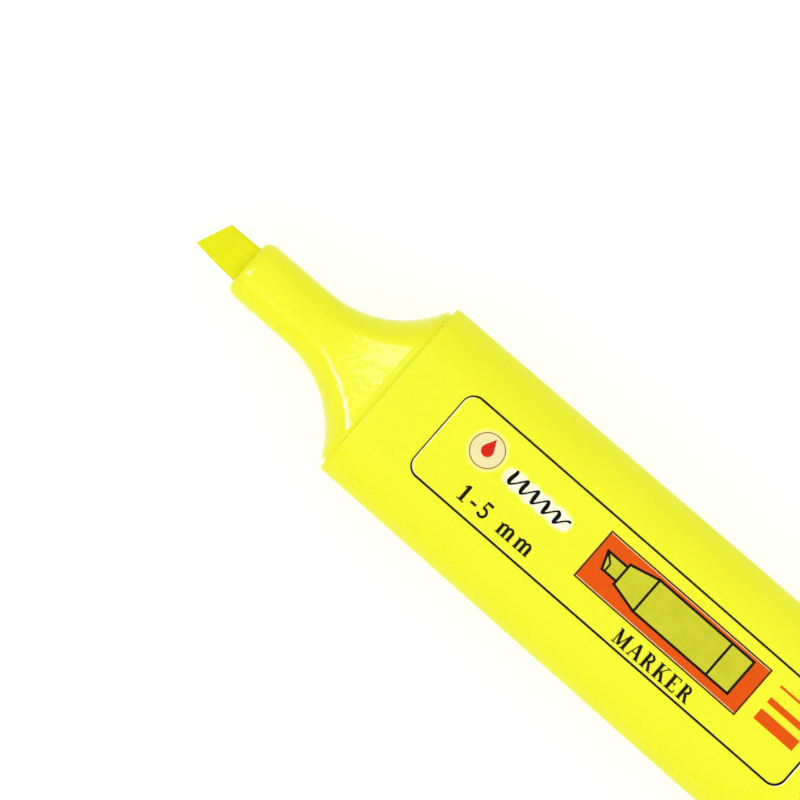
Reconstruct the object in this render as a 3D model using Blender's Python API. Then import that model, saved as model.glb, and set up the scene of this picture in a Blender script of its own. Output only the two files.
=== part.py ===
"""Flat chisel-tip highlighter, uncapped, with its cap pushed onto the tail.

Lies on its back: +X runs from the writing tip to the tail, +Z is up through the printed face,
and the origin is the bottom centre of the whole pen. Metres.
"""

import math

import bmesh
import bpy
from mathutils import Vector
from mathutils.geometry import interpolate_bezier

# Driving sizes. Stations along the pen are measured from the barrel's front lip, towards the tail.
TIP_REACH = 0.0286  # nib tip in front of the lip
NOZZLE_REACH = 0.0223  # nozzle's front face in front of the lip
BARREL_LENGTH = 0.074
CAP_LENGTH = 0.033
FLANGE_THICKNESS = 0.0016
SEAT_GAP = 0.00015  # between two faces that butt together

BODY_HALF_WIDTH = 0.01255  # at the lip
BODY_TAIL_HALF_WIDTH = 0.0131
BODY_HALF_HEIGHT = 0.0072
BODY_HALF_FLAT = 0.0064  # half of the flat, printed face
BARREL_WALL = 0.0014

NOZZLE_RADIUS = 0.00398
NOZZLE_FRONT_RADIUS = 0.0030
NIB_HALF_WIDTH = 0.0025
NIB_HALF_HEIGHT = 0.0016
NIB_PLAY = 0.0002

FLANGE_FRONT = BARREL_LENGTH + SEAT_GAP
STUB_FRONT = FLANGE_FRONT + FLANGE_THICKNESS
STUB_LENGTH = 0.0068
CAP_RIM = STUB_FRONT + SEAT_GAP
CAP_END = CAP_RIM + CAP_LENGTH

LIP_X = TIP_REACH - (TIP_REACH + CAP_END) / 2
AXIS_Z = BODY_HALF_HEIGHT

SIDE_STEPS = 15  # facets of each side arc
RING_POINTS = 2 * (SIDE_STEPS + 1)
CORNER_STEPS = RING_POINTS // 4 - 1  # facets of each corner of a rounded rectangle

PLASTIC_YELLOW = (0.96, 0.96, 0.035)
NIB_YELLOW = (0.88, 0.90, 0.012)
CORE_YELLOW = (0.80, 0.84, 0.02)
FILM_CLEAR = (0.82, 0.84, 0.70)


def material(name, color, roughness):
    made = bpy.data.materials.new(name)
    made.use_nodes = True
    shader = made.node_tree.nodes["Principled BSDF"]
    shader.inputs["Base Color"].default_value = (*color, 1.0)
    shader.inputs["Roughness"].default_value = roughness
    shader.inputs["Metallic"].default_value = 0.0
    return made


def oval(station, half_width, half_height, half_flat):
    """Ring of a flat-faced oval: two flats joined by side arcs centred on the mid-plane."""
    centre = (half_width**2 - half_flat**2 - half_height**2) / (2 * (half_width - half_flat))
    radius = half_width - centre
    reach = math.atan2(half_height, half_flat - centre)
    angles = [-reach + 2 * reach * i / SIDE_STEPS for i in range(SIDE_STEPS + 1)]
    right = [(centre + radius * math.cos(t), radius * math.sin(t)) for t in angles]
    left = [(-y, -z) for y, z in right]
    return [Vector((LIP_X + station, y, AXIS_Z + z)) for y, z in right + left]


def round_ring(station, radius):
    """A circle, as an oval whose flat is one facet wide."""
    half_flat = radius * math.sin(math.pi / RING_POINTS)
    return oval(station, radius, math.sqrt(radius**2 - half_flat**2), half_flat)


def rounded_rectangle(station, half_width, half_height, corner):
    corners = [(1, -1), (1, 1), (-1, 1), (-1, -1)]
    points = []
    for index, (side_y, side_z) in enumerate(corners):
        for step in range(CORNER_STEPS + 1):
            angle = (index - 1) * math.pi / 2 + step / CORNER_STEPS * math.pi / 2
            y = side_y * (half_width - corner) + corner * math.cos(angle)
            z = side_z * (half_height - corner) + corner * math.sin(angle)
            points.append(Vector((LIP_X + station, y, AXIS_Z + z)))
    return points


def loft(name, rings, paint, through=False):
    """One closed solid through the rings. With through, the last ring joins the first round an open bore."""
    bm = bmesh.new()
    loops = [[bm.verts.new(point) for point in ring] for ring in rings]
    pairs = list(zip(loops, loops[1:]))
    if through:
        pairs.append((loops[-1], loops[0]))
    else:
        bm.faces.new(loops[0])
        bm.faces.new(loops[-1])
    for near, far in pairs:
        for i in range(len(near)):
            j = (i + 1) % len(near)
            bm.faces.new((near[i], near[j], far[j], far[i]))
    bmesh.ops.recalc_face_normals(bm, faces=bm.faces)
    return finished(name, bm, paint)


def finished(name, bm, paint):
    mesh = bpy.data.meshes.new(name)
    bm.to_mesh(mesh)
    bm.free()
    mesh.shade_smooth()
    mesh.set_sharp_from_angle(angle=math.radians(35))
    made = bpy.data.objects.new(name, mesh)
    bpy.context.scene.collection.objects.link(made)
    if paint:
        mesh.materials.append(paint)
    return made


def block(name, low, high):
    """A box between two corners, given as station, y and height above the pen's mid-plane."""
    bm = bmesh.new()
    size = [b - a for a, b in zip(low, high)]
    middle = [(a + b) / 2 for a, b in zip(low, high)]
    bmesh.ops.create_cube(bm, size=1.0)
    bmesh.ops.scale(bm, vec=size, verts=bm.verts)
    bmesh.ops.translate(bm, vec=(LIP_X + middle[0], middle[1], AXIS_Z + middle[2]), verts=bm.verts)
    return finished(name, bm, None)


def combine(target, helper, operation):
    """Joins a hidden helper to the target, or cuts it away."""
    helper.hide_render = True
    helper.display_type = "WIRE"
    modifier = target.modifiers.new(f"{operation.lower()}_{helper.name}", "BOOLEAN")
    modifier.operation = operation
    modifier.solver = "EXACT"
    modifier.object = helper


def body_half_width(station):
    """The sides open slightly from the lip to the tail."""
    share = station / BARREL_LENGTH
    return BODY_HALF_WIDTH + share * (BODY_TAIL_HALF_WIDTH - BODY_HALF_WIDTH)


def corner_arc(axial, inset, steps):
    """Quarter ellipse that rounds an end: (distance in from the end face, inset of the wall) pairs."""
    quarter = math.pi / 2
    angles = [quarter * i / steps for i in range(steps + 1)]
    return [(axial * (1 - math.sin(t)), inset * (1 - math.cos(t))) for t in angles][::-1]


# Barrel: a flat-faced tube, open at both ends, with ribs inside that hold the reservoir centred.

BARREL_BORE_HALF_HEIGHT = BODY_HALF_HEIGHT - BARREL_WALL
LIP_ROUND = 0.0004
SNAP_STATION = 0.0035  # where the section's bead snaps into the barrel's groove
SNAP_HALF_LENGTH = 0.0006
SNAP_HEIGHT = 0.00012
RIB_FRONT, RIB_BACK = 0.0095, 0.0655
RIB_THICKNESS = 0.0008
RIB_PLAY = 0.00015  # between a rib and the reservoir's wrap
RIB_ROOT = 0.0005  # how deep a rib is sunk in the wall
FACE_RIB_OFFSET = 0.0042
FLAT_SHRINK = 0.3  # the flats narrow by this share of the inset of a wall


def barrel_ring(station, inset):
    return oval(
        station,
        body_half_width(station) - inset,
        BODY_HALF_HEIGHT - inset,
        BODY_HALF_FLAT - inset * FLAT_SHRINK,
    )


def make_barrel(paint):
    front = [barrel_ring(a, i) for a, i in corner_arc(LIP_ROUND, LIP_ROUND, 3)]
    back = [
        barrel_ring(BARREL_LENGTH - a, i)
        for a, i in corner_arc(LIP_ROUND, LIP_ROUND / 2, 2)
    ][::-1]
    middle = [barrel_ring(BARREL_LENGTH / 2, 0.0)]
    snap = [
        (SNAP_STATION + 2 * SNAP_HALF_LENGTH, 0.0),
        (SNAP_STATION + SNAP_HALF_LENGTH, SNAP_HEIGHT),
        (SNAP_STATION - SNAP_HALF_LENGTH, SNAP_HEIGHT),
        (SNAP_STATION - 2 * SNAP_HALF_LENGTH, 0.0),
    ]
    bore = [barrel_ring(BARREL_LENGTH, BARREL_WALL)]
    bore += [barrel_ring(s, BARREL_WALL - depth) for s, depth in snap]
    bore += [barrel_ring(0.0, BARREL_WALL)]
    barrel = loft("barrel", front + middle + back + bore, paint, through=True)
    half = RIB_THICKNESS / 2
    inner = WRAP_HALF_HEIGHT + RIB_PLAY
    outer = BARREL_BORE_HALF_HEIGHT + RIB_ROOT
    for side in (-1, 1):
        for offset in (-FACE_RIB_OFFSET, FACE_RIB_OFFSET):
            low, high = sorted((side * inner, side * outer))
            rib = block(
                f"face_rib_{side}_{offset:.4f}",
                (RIB_FRONT, offset - half, low),
                (RIB_BACK, offset + half, high),
            )
            combine(barrel, rib, "UNION")
        near = WRAP_HALF_WIDTH + RIB_PLAY
        far = BODY_HALF_WIDTH - BARREL_WALL / 2
        low, high = sorted((side * near, side * far))
        rib = block(f"side_rib_{side}", (RIB_FRONT, low, -half), (RIB_BACK, high, half))
        combine(barrel, rib, "UNION")
    return barrel


# Front section: nozzle, flared shoulder and the skirt that snaps into the barrel, in one moulding.

FLARE_START, FLARE_END = 0.0129, 0.00085
FLARE_HALF_HEIGHT = 0.0060
FLARE_STEPS = 12
FACE_RISE = 1.7  # power that bends the two faces outwards
FLAT_SPREAD, FLAT_CURVE = 0.33, 13.0  # how the flat faces widen along the flare
COLLAR_HALF_WIDTH, COLLAR_HALF_HEIGHT, COLLAR_HALF_FLAT = 0.01152, 0.00618, 0.0063
SKIRT_LENGTH = 0.0070
SKIRT_WALL = 0.0011
SKIRT_PLAY = 0.00018
SKIRT_LEAD_IN = 0.0004  # taper of the skirt's end
SNAP_CREST = 0.7  # the bead's flat top, as a share of the groove's
NOSE_ROUND = 0.0016
NOSE_DRAFT = 0.00005  # the nozzle is this much slimmer at its front
FUNNEL = [(-0.0035, 0.0059, 0.0036, 0.0032), (-0.0080, 0.0035, 0.0026, 0.0016)]  # station and half sizes
BORE_BACK = 0.0105  # in front of the lip
VENT_BACK = 0.0085
VENT_HALF_HEIGHT, VENT_DEPTH = 0.0004, 0.0005


def flare_profile():
    """(distance in front of the lip, half width, half height, half flat) along the shoulder."""
    side = interpolate_bezier(
        (FLARE_START, NOZZLE_RADIUS, 0),
        (0.0074, NOZZLE_RADIUS, 0),
        (0.00297, 0.0070, 0),
        (FLARE_END, 0.0112, 0),
        FLARE_STEPS + 1,
    )
    round_flat = NOZZLE_RADIUS * math.sin(math.pi / RING_POINTS)
    profile = []
    for point in side:
        run = max(0.0, FLARE_START - point.x)
        share = run / (FLARE_START - FLARE_END)
        half_flat = round_flat + FLAT_SPREAD * run + FLAT_CURVE * run**2
        height = NOZZLE_RADIUS + (FLARE_HALF_HEIGHT - NOZZLE_RADIUS) * share**FACE_RISE
        profile.append((point.x, point.y, height, half_flat))
    return profile


def make_front_section(paint):
    """Rings run from the nose back to the skirt's end, then forward through the funnel and the nib's bore."""
    nose = [
        round_ring(a - NOZZLE_REACH, NOZZLE_RADIUS - NOSE_DRAFT - i)
        for a, i in corner_arc(NOSE_ROUND, NOZZLE_RADIUS - NOZZLE_FRONT_RADIUS, 4)
    ]
    nozzle = [round_ring((-FLARE_START - NOZZLE_REACH) / 2, NOZZLE_RADIUS)]
    flare = [oval(-distance, w, h, f) for distance, w, h, f in flare_profile()]
    collar = [
        oval(-0.0006, COLLAR_HALF_WIDTH - 0.00007, COLLAR_HALF_HEIGHT - 0.00005, COLLAR_HALF_FLAT),
        oval(-0.0004, COLLAR_HALF_WIDTH, COLLAR_HALF_HEIGHT, COLLAR_HALF_FLAT),
        oval(-SEAT_GAP, COLLAR_HALF_WIDTH, COLLAR_HALF_HEIGHT, COLLAR_HALF_FLAT),
    ]
    fit = BARREL_WALL + SKIRT_PLAY
    outside = [
        (-SEAT_GAP, fit),
        (SNAP_STATION - 2 * SNAP_HALF_LENGTH, fit),
        (SNAP_STATION - SNAP_HALF_LENGTH * SNAP_CREST, fit - SNAP_HEIGHT),
        (SNAP_STATION + SNAP_HALF_LENGTH * SNAP_CREST, fit - SNAP_HEIGHT),
        (SNAP_STATION + 2 * SNAP_HALF_LENGTH, fit),
        (SKIRT_LENGTH - 1.5 * SKIRT_LEAD_IN, fit),
        (SKIRT_LENGTH, fit + SKIRT_LEAD_IN),
    ]
    skirt = [barrel_ring(station, inset) for station, inset in outside]
    inside = fit + SKIRT_WALL
    funnel = [barrel_ring(SKIRT_LENGTH, inside), barrel_ring(SEAT_GAP, inside)]
    funnel += [oval(*sizes) for sizes in FUNNEL]
    bore = [
        rounded_rectangle(
            station, NIB_HALF_WIDTH + NIB_PLAY, NIB_HALF_HEIGHT + NIB_PLAY, NIB_CORNER + NIB_PLAY
        )
        for station in (-BORE_BACK, -NOZZLE_REACH)
    ]
    rings = nose + nozzle + flare + collar + skirt + funnel + bore
    section = loft("front_section", rings, paint, through=True)
    groove = block(
        "vent_groove",
        (-NOZZLE_REACH - VENT_DEPTH, NIB_HALF_WIDTH - VENT_DEPTH / 2, -VENT_HALF_HEIGHT),
        (-VENT_BACK, NIB_HALF_WIDTH + VENT_DEPTH, VENT_HALF_HEIGHT),
    )
    combine(section, groove, "DIFFERENCE")
    return section


# Nib: a pressed fibre bar with a slanted chisel end, its back pushed into the reservoir.

NIB_CORNER = 0.0008
NIB_BACK = 0.0113
NIB_SLANT = 0.00175  # how far the short corner stands back from the tip
NIB_EDGE = 0.0002  # length of the blunted writing edge
NIB_BEVEL = 0.0034  # length over which the two faces slope to the edge
NIB_TIP_HALF_WIDTH = 0.00222
NIB_TIP_HALF_HEIGHT = 0.00075
NIB_TIP_SHIFT = 0.0002  # the narrowed tip lies towards the short corner
NIB_EDGE_SWELL = 0.0001  # how much the blunted edge's back is thicker than its front
NIB_BACK_TAPER = 0.0005


def nib_ring(station, half_width, half_height, slant=0.0, shift=0.0):
    """A ring whose -Y side stands forward by the slant, in step across the width."""
    corner = min(NIB_CORNER, half_height * 0.7)
    ring = rounded_rectangle(station, half_width, half_height, corner)
    for point in ring:
        point.x += slant * (point.y + half_width) / (2 * half_width)
        point.y += shift
    return ring


def make_nib(paint):
    width, height = NIB_TIP_HALF_WIDTH, NIB_TIP_HALF_HEIGHT
    bevel_end = NIB_BEVEL - TIP_REACH
    rings = [
        nib_ring(-TIP_REACH, width, height, NIB_SLANT, NIB_TIP_SHIFT),
        nib_ring(
            NIB_EDGE - TIP_REACH,
            width + NIB_EDGE_SWELL / 2,
            height + NIB_EDGE_SWELL,
            NIB_SLANT,
            NIB_TIP_SHIFT,
        ),
        nib_ring(
            bevel_end, NIB_HALF_WIDTH - NIB_EDGE_SWELL, NIB_HALF_HEIGHT, NIB_SLANT * 0.7, NIB_TIP_SHIFT / 4
        ),
        nib_ring(-NOZZLE_REACH, NIB_HALF_WIDTH, NIB_HALF_HEIGHT),
        nib_ring(NIB_BACK - 2 * NIB_BACK_TAPER, NIB_HALF_WIDTH, NIB_HALF_HEIGHT),
        nib_ring(NIB_BACK, NIB_HALF_WIDTH - NIB_BACK_TAPER, NIB_HALF_HEIGHT - NIB_BACK_TAPER),
    ]
    return loft("nib", rings, paint)


# Ink reservoir: a soft fibre core in a film wrap that is open at both ends.

CORE_FRONT, CORE_BACK = 0.0076, 0.0655
CORE_HALF_WIDTH, CORE_HALF_HEIGHT, CORE_HALF_FLAT = 0.0092, 0.0044, 0.0050
WRAP_PLAY, WRAP_THICKNESS = 0.00015, 0.00030
WRAP_SHORT = 0.0004  # the film ends this far short of the core
POCKET_PLAY = 0.0003  # behind the nib's back
WRAP_HALF_WIDTH = CORE_HALF_WIDTH + WRAP_PLAY + WRAP_THICKNESS
WRAP_HALF_HEIGHT = CORE_HALF_HEIGHT + WRAP_PLAY + WRAP_THICKNESS


def core_ring(station, grow):
    return oval(station, CORE_HALF_WIDTH + grow, CORE_HALF_HEIGHT + grow, CORE_HALF_FLAT)


def make_ink_reservoir(paint):
    pocket = NIB_BACK + POCKET_PLAY
    hole = [
        rounded_rectangle(
            station, NIB_HALF_WIDTH + NIB_PLAY, NIB_HALF_HEIGHT + NIB_PLAY, NIB_CORNER + NIB_PLAY
        )
        for station in (CORE_FRONT, pocket)
    ]
    rings = [core_ring(CORE_BACK, 0.0), core_ring(CORE_FRONT, 0.0)] + hole
    return loft("ink_reservoir", rings, paint)


def make_reservoir_wrap(paint):
    inner, outer = WRAP_PLAY, WRAP_PLAY + WRAP_THICKNESS
    front, back = CORE_FRONT + WRAP_SHORT, CORE_BACK - WRAP_SHORT
    rings = [core_ring(front, outer), core_ring(back, outer), core_ring(back, inner), core_ring(front, inner)]
    return loft("reservoir_wrap", rings, paint, through=True)


# Tail plug: spigot in the barrel, flange over its end, and the hollow stub that the cap is pushed onto.

SPIGOT_FRONT = 0.0680
PLUG_WALL = 0.0011
STUB_HALF_WIDTH, STUB_HALF_HEIGHT, STUB_HALF_FLAT = 0.01135, 0.00602, 0.0061
STUB_DRAFT = 0.0001  # the stub is this much slimmer at its end
STUB_END_ROUND = 0.0009
HOLLOW_HALF_HEIGHT, HOLLOW_HALF_FLAT = 0.0044, 0.0053
PRONG_FRONT = CORE_BACK + 0.0003
PRONG_OFFSET = 0.0050
PRONG_HALF_THICKNESS, PRONG_HALF_HEIGHT = 0.0005, 0.0046


def make_tail_plug(paint):
    fit = BARREL_WALL + SKIRT_PLAY
    spigot = [
        barrel_ring(SPIGOT_FRONT, fit + SKIRT_LEAD_IN),
        barrel_ring(SPIGOT_FRONT + 1.5 * SKIRT_LEAD_IN, fit),
        barrel_ring(FLANGE_FRONT, fit),
    ]
    flange = [barrel_ring(BARREL_LENGTH, 0.0), barrel_ring(BARREL_LENGTH, 0.0)]
    for ring, station in zip(flange, (FLANGE_FRONT, STUB_FRONT)):
        for point in ring:
            point.x = LIP_X + station
    stub_back = STUB_FRONT + STUB_LENGTH
    stub = [oval(STUB_FRONT, STUB_HALF_WIDTH, STUB_HALF_HEIGHT, STUB_HALF_FLAT)]
    width, height = STUB_HALF_WIDTH - STUB_DRAFT, STUB_HALF_HEIGHT - STUB_DRAFT
    stub += [
        oval(stub_back - a, width - i, height - i, STUB_HALF_FLAT - i)
        for a, i in corner_arc(STUB_END_ROUND, STUB_END_ROUND, 3)
    ][::-1]
    hollow = [
        oval(stub_back - PLUG_WALL, width - PLUG_WALL, HOLLOW_HALF_HEIGHT - STUB_DRAFT, HOLLOW_HALF_FLAT),
        oval(SPIGOT_FRONT, STUB_HALF_WIDTH - PLUG_WALL, HOLLOW_HALF_HEIGHT, HOLLOW_HALF_FLAT),
    ]
    outside = spigot + flange + stub
    plug = loft("tail_plug", outside[::-1] + hollow[::-1], paint)
    for side in (-1, 1):
        offset = side * PRONG_OFFSET
        prong = block(
            f"prong_{side}",
            (PRONG_FRONT, offset - PRONG_HALF_THICKNESS, -PRONG_HALF_HEIGHT),
            (stub_back - PLUG_WALL / 2, offset + PRONG_HALF_THICKNESS, PRONG_HALF_HEIGHT),
        )
        combine(plug, prong, "UNION")
    return plug


# Cap: a closed shell on the tail, with the bridge that its clip springs from.

CAP_HALF_WIDTH, CAP_END_HALF_WIDTH = BODY_HALF_WIDTH, 0.0121
CAP_END_HALF_HEIGHT = 0.0069
CAP_RIM_WALL, CAP_END_WALL = 0.00095, 0.0012
CAP_END_ROUND, CAP_RIM_ROUND = 0.0016, 0.00025
CAP_FLOOR_ROUND = 0.0006
BRIDGE_SETBACK = 0.0006  # from the cap's end, and down into its face
CLIP_HALF_WIDTH = 0.0023
CLIP_TOP = 0.0100  # above the mid-plane
CLIP_THICKNESS = 0.0014
CLIP_ROOT = 0.0286  # depth from the rim where the arm leaves the bridge
CLIP_GAP = 0.0003
CLIP_FREE_END = 0.0020
CLIP_TIP_RISE = 0.0001  # the free end stands a little higher than the root
BEAD_CENTRE, BEAD_RADIUS, BEAD_DEPTH = 0.0052, 0.0019, 0.0010
BEAD_STEPS = 8


def cap_ring(depth, inset):
    share = depth / CAP_LENGTH
    half_width = CAP_HALF_WIDTH + share * (CAP_END_HALF_WIDTH - CAP_HALF_WIDTH)
    half_height = BODY_HALF_HEIGHT + share * (CAP_END_HALF_HEIGHT - BODY_HALF_HEIGHT)
    return oval(
        CAP_RIM + depth, half_width - inset, half_height - inset, BODY_HALF_FLAT - inset * FLAT_SHRINK
    )


def make_cap(paint):
    end = [cap_ring(CAP_LENGTH - a, i) for a, i in corner_arc(CAP_END_ROUND, CAP_END_ROUND, 5)]
    rim = [cap_ring(a, i) for a, i in corner_arc(CAP_RIM_ROUND, CAP_RIM_ROUND, 2)][::-1]
    floor = CAP_LENGTH - CAP_END_WALL
    bore = [
        cap_ring(0.0, CAP_RIM_WALL),
        cap_ring(floor - CAP_FLOOR_ROUND, CAP_RIM_WALL + STUB_DRAFT),
        cap_ring(floor, CAP_RIM_WALL + CAP_FLOOR_ROUND),
    ]
    cap = loft("cap", end + rim + bore, paint)
    bridge = block(
        "clip_bridge",
        (CAP_RIM + CLIP_ROOT, -CLIP_HALF_WIDTH, CAP_END_HALF_HEIGHT - BRIDGE_SETBACK),
        (CAP_END - BRIDGE_SETBACK, CLIP_HALF_WIDTH, CLIP_TOP),
    )
    soften = bridge.modifiers.new("soften", "BEVEL")
    soften.width = 0.0004
    soften.segments = 2
    combine(cap, bridge, "UNION")
    return cap


# Cap liner: the inner cup that closes round the nozzle and keeps the nib wet.

LINER_PLATE_THICKNESS = 0.0011
LINER_PLATE_HALF_WIDTH, LINER_PLATE_HALF_HEIGHT, LINER_PLATE_HALF_FLAT = 0.0105, 0.0052, 0.0058
LINER_PLATE_TAPER = 0.0002  # the plate is smaller at its back, to clear the cap's rounded floor
LINER_BORE_RADIUS, LINER_RADIUS = 0.0041, 0.00515
LINER_LIP = 0.0004  # chamfer at the cup's mouth
LINER_MOUTH = 0.0130  # depth from the cap's rim


def make_cap_liner(paint):
    plate_back = CAP_RIM + CAP_LENGTH - CAP_END_WALL - 0.0003
    plate_front = plate_back - LINER_PLATE_THICKNESS
    mouth = CAP_RIM + LINER_MOUTH
    rings = [
        oval(
            plate_back,
            LINER_PLATE_HALF_WIDTH - LINER_PLATE_TAPER,
            LINER_PLATE_HALF_HEIGHT - LINER_PLATE_TAPER,
            LINER_PLATE_HALF_FLAT,
        ),
        oval(plate_front, LINER_PLATE_HALF_WIDTH, LINER_PLATE_HALF_HEIGHT, LINER_PLATE_HALF_FLAT),
        round_ring(plate_front, LINER_RADIUS),
        round_ring(mouth + LINER_LIP, LINER_RADIUS - STUB_DRAFT),
        round_ring(mouth, LINER_RADIUS - LINER_LIP),
        round_ring(mouth, LINER_BORE_RADIUS + LINER_LIP),
        round_ring(mouth + 2 * LINER_LIP, LINER_BORE_RADIUS),
        round_ring(plate_front + LINER_LIP / 2, LINER_BORE_RADIUS),
    ]
    return loft("cap_liner", rings, paint)


# Clip: a springy arm over the cap, with a bead that pinches a pocket's edge.


def clip_profile():
    """Side outline of the arm, as (depth from the rim, height above the mid-plane)."""
    back = CLIP_ROOT - CLIP_GAP
    underside = CLIP_TOP - CLIP_THICKNESS
    bead = []
    for i in range(BEAD_STEPS + 1):
        angle = math.pi * i / BEAD_STEPS
        bead.append((BEAD_CENTRE + BEAD_RADIUS * math.cos(angle), underside - BEAD_DEPTH * math.sin(angle)))
    rise = CLIP_THICKNESS / 4  # the free end is cut to a blunt nose in quarters of the thickness
    tip = [
        (CLIP_FREE_END + rise / 2, underside + rise),
        (CLIP_FREE_END, underside + 2 * rise),
        (CLIP_FREE_END + rise, CLIP_TOP + CLIP_TIP_RISE),
    ]
    return [(back, CLIP_TOP), (back, underside), *bead, *tip]


def make_clip(paint):
    bm = bmesh.new()
    points = [Vector((LIP_X + CAP_RIM + d, -CLIP_HALF_WIDTH, AXIS_Z + h)) for d, h in clip_profile()]
    face = bm.faces.new([bm.verts.new(point) for point in points])
    grown = bmesh.ops.extrude_face_region(bm, geom=[face])
    moved = [item for item in grown["geom"] if isinstance(item, bmesh.types.BMVert)]
    bmesh.ops.translate(bm, vec=(0, 2 * CLIP_HALF_WIDTH, 0), verts=moved)
    bmesh.ops.recalc_face_normals(bm, faces=bm.faces)
    clip = finished("clip", bm, paint)
    soften = clip.modifiers.new("soften", "BEVEL")
    soften.width = 0.00025
    soften.segments = 2
    soften.angle_limit = math.radians(50)
    return clip


def parent_to(name, children):
    """An empty that carries the pieces that move together."""
    holder = bpy.data.objects.new(name, None)
    bpy.context.scene.collection.objects.link(holder)
    for child in children:
        child.parent = holder
    return holder


def main():
    for old in list(bpy.data.objects):
        bpy.data.objects.remove(old)
    plastic = material("yellow_plastic", PLASTIC_YELLOW, 0.35)
    gloss = material("yellow_gloss_plastic", PLASTIC_YELLOW, 0.18)
    felt = material("ink_soaked_fibre", NIB_YELLOW, 0.8)
    core = material("reservoir_fibre", CORE_YELLOW, 0.9)
    film = material("clear_film", FILM_CLEAR, 0.2)
    barrel = make_barrel(plastic)
    section = make_front_section(gloss)
    nib = make_nib(felt)
    reservoir = make_ink_reservoir(core)
    wrap = make_reservoir_wrap(film)
    plug = make_tail_plug(plastic)
    cap = make_cap(plastic)
    liner = make_cap_liner(gloss)
    clip = make_clip(plastic)
    parent_to("pen_body", [barrel, section, nib, reservoir, wrap, plug])
    cap_holder = parent_to("cap_body", [cap, liner])
    clip_holder = parent_to("clip_arm", [clip])
    clip_holder.parent = cap_holder


main()
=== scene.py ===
import math

import bmesh
import bpy
from mathutils import Matrix, Quaternion, Vector


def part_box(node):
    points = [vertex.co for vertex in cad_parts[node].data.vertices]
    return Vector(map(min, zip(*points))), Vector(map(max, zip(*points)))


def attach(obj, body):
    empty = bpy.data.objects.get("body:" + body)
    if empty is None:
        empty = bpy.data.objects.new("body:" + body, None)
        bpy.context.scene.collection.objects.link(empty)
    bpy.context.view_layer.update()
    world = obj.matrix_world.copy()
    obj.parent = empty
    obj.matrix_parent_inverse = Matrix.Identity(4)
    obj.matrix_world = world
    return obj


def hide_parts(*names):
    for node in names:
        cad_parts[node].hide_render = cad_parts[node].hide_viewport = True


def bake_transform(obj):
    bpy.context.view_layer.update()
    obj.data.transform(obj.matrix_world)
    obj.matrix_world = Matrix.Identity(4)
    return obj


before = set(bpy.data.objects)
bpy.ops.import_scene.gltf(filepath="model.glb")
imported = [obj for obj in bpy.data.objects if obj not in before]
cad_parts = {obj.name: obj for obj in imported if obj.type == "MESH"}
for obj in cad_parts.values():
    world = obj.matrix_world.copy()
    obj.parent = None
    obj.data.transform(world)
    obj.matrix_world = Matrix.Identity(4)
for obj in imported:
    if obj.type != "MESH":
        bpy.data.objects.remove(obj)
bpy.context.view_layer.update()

# A flat highlighter lying on its back: +X runs from the writing tip to the tail, +Z is up through the print.
mm = 0.001
barrelLow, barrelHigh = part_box("barrel")
nibLow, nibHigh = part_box("nib")
capLow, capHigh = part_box("cap")
linerLow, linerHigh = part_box("cap_liner")
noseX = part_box("front_section")[0].x
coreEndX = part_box("ink_reservoir")[1].x
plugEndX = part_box("tail_plug")[1].x
lipX = barrelLow.x  # the barrel's front lip; stations are measured from here towards the tail
capRimX = capLow.x
axisZ = (barrelLow.z + barrelHigh.z) / 2
faceZ = barrelHigh.z
hair = 0.03 * mm  # neighbouring rings in one plane would be paired mirrored, so they stand a hair apart
flatShrink = 0.3  # the share of a ring's inset that its half flat loses
toSide = Matrix(((0, 0, 1, 0), (1, 0, 0, 0), (0, 1, 0, axisZ), (0, 0, 0, 1)))  # stands an outline up


# small mesh helpers, used by every piece

def addedSince(known, elements):  # what an operator has just made
    return [item for item in elements if item not in known]


def spinPoint(bm, start, centre, angle, steps):  # an arc of edges in the flat, from one vertex
    arc = [bm.verts.new(start)]
    bmesh.ops.spin(bm, geom=arc[:], cent=centre, axis=(0, 0, 1), angle=angle, steps=steps)
    for step in range(steps):  # the new vertices, in order along the arc
        around = [edge.other_vert(arc[-1]) for edge in arc[-1].link_edges]
        arc.append(next(vert for vert in around if vert not in arc))
    return arc


def closeLoop(bm, arcs):  # straight edges from each arc's end to the next arc's start
    for arc, following in zip(arcs, arcs[1:] + arcs[:1]):
        bm.edges.new((arc[-1], following[0]))


def standAcross(bm, x, known):  # sets what was drawn since then upright across the pen, at x
    place = Matrix.Translation((x, 0, 0)) @ toSide
    bmesh.ops.transform(bm, matrix=place, verts=addedSince(known, bm.verts))


def ovalRing(bm, x, halfWidth, halfHeight, halfFlat, fillet, steps=24):
    # two flats with an arc at each side, centred on the mid-plane; a fillet softens where they meet
    knownVerts, knownEdges = set(bm.verts), set(bm.edges)
    arcCentre = (halfWidth ** 2 - halfFlat ** 2 - halfHeight ** 2) / (2 * (halfWidth - halfFlat))
    reach = math.atan2(halfHeight, halfFlat - arcCentre)
    right = spinPoint(bm, (halfFlat, -halfHeight, 0), (arcCentre, 0, 0), 2 * reach, steps)
    left = spinPoint(bm, (-halfFlat, halfHeight, 0), (-arcCentre, 0, 0), 2 * reach, steps)
    closeLoop(bm, [right, left])
    bmesh.ops.bevel(bm, geom=[right[0], right[-1], left[0], left[-1]], offset=fillet, offset_type="OFFSET",
                    segments=3, profile=0.5, affect="VERTICES", material=-1)
    standAcross(bm, x, knownVerts)
    return addedSince(knownEdges, bm.edges)


def roundRing(bm, x, radius, segments=62):
    knownVerts, knownEdges = set(bm.verts), set(bm.edges)
    bmesh.ops.create_circle(bm, segments=segments, radius=radius)
    standAcross(bm, x, knownVerts)
    return addedSince(knownEdges, bm.edges)


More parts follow.
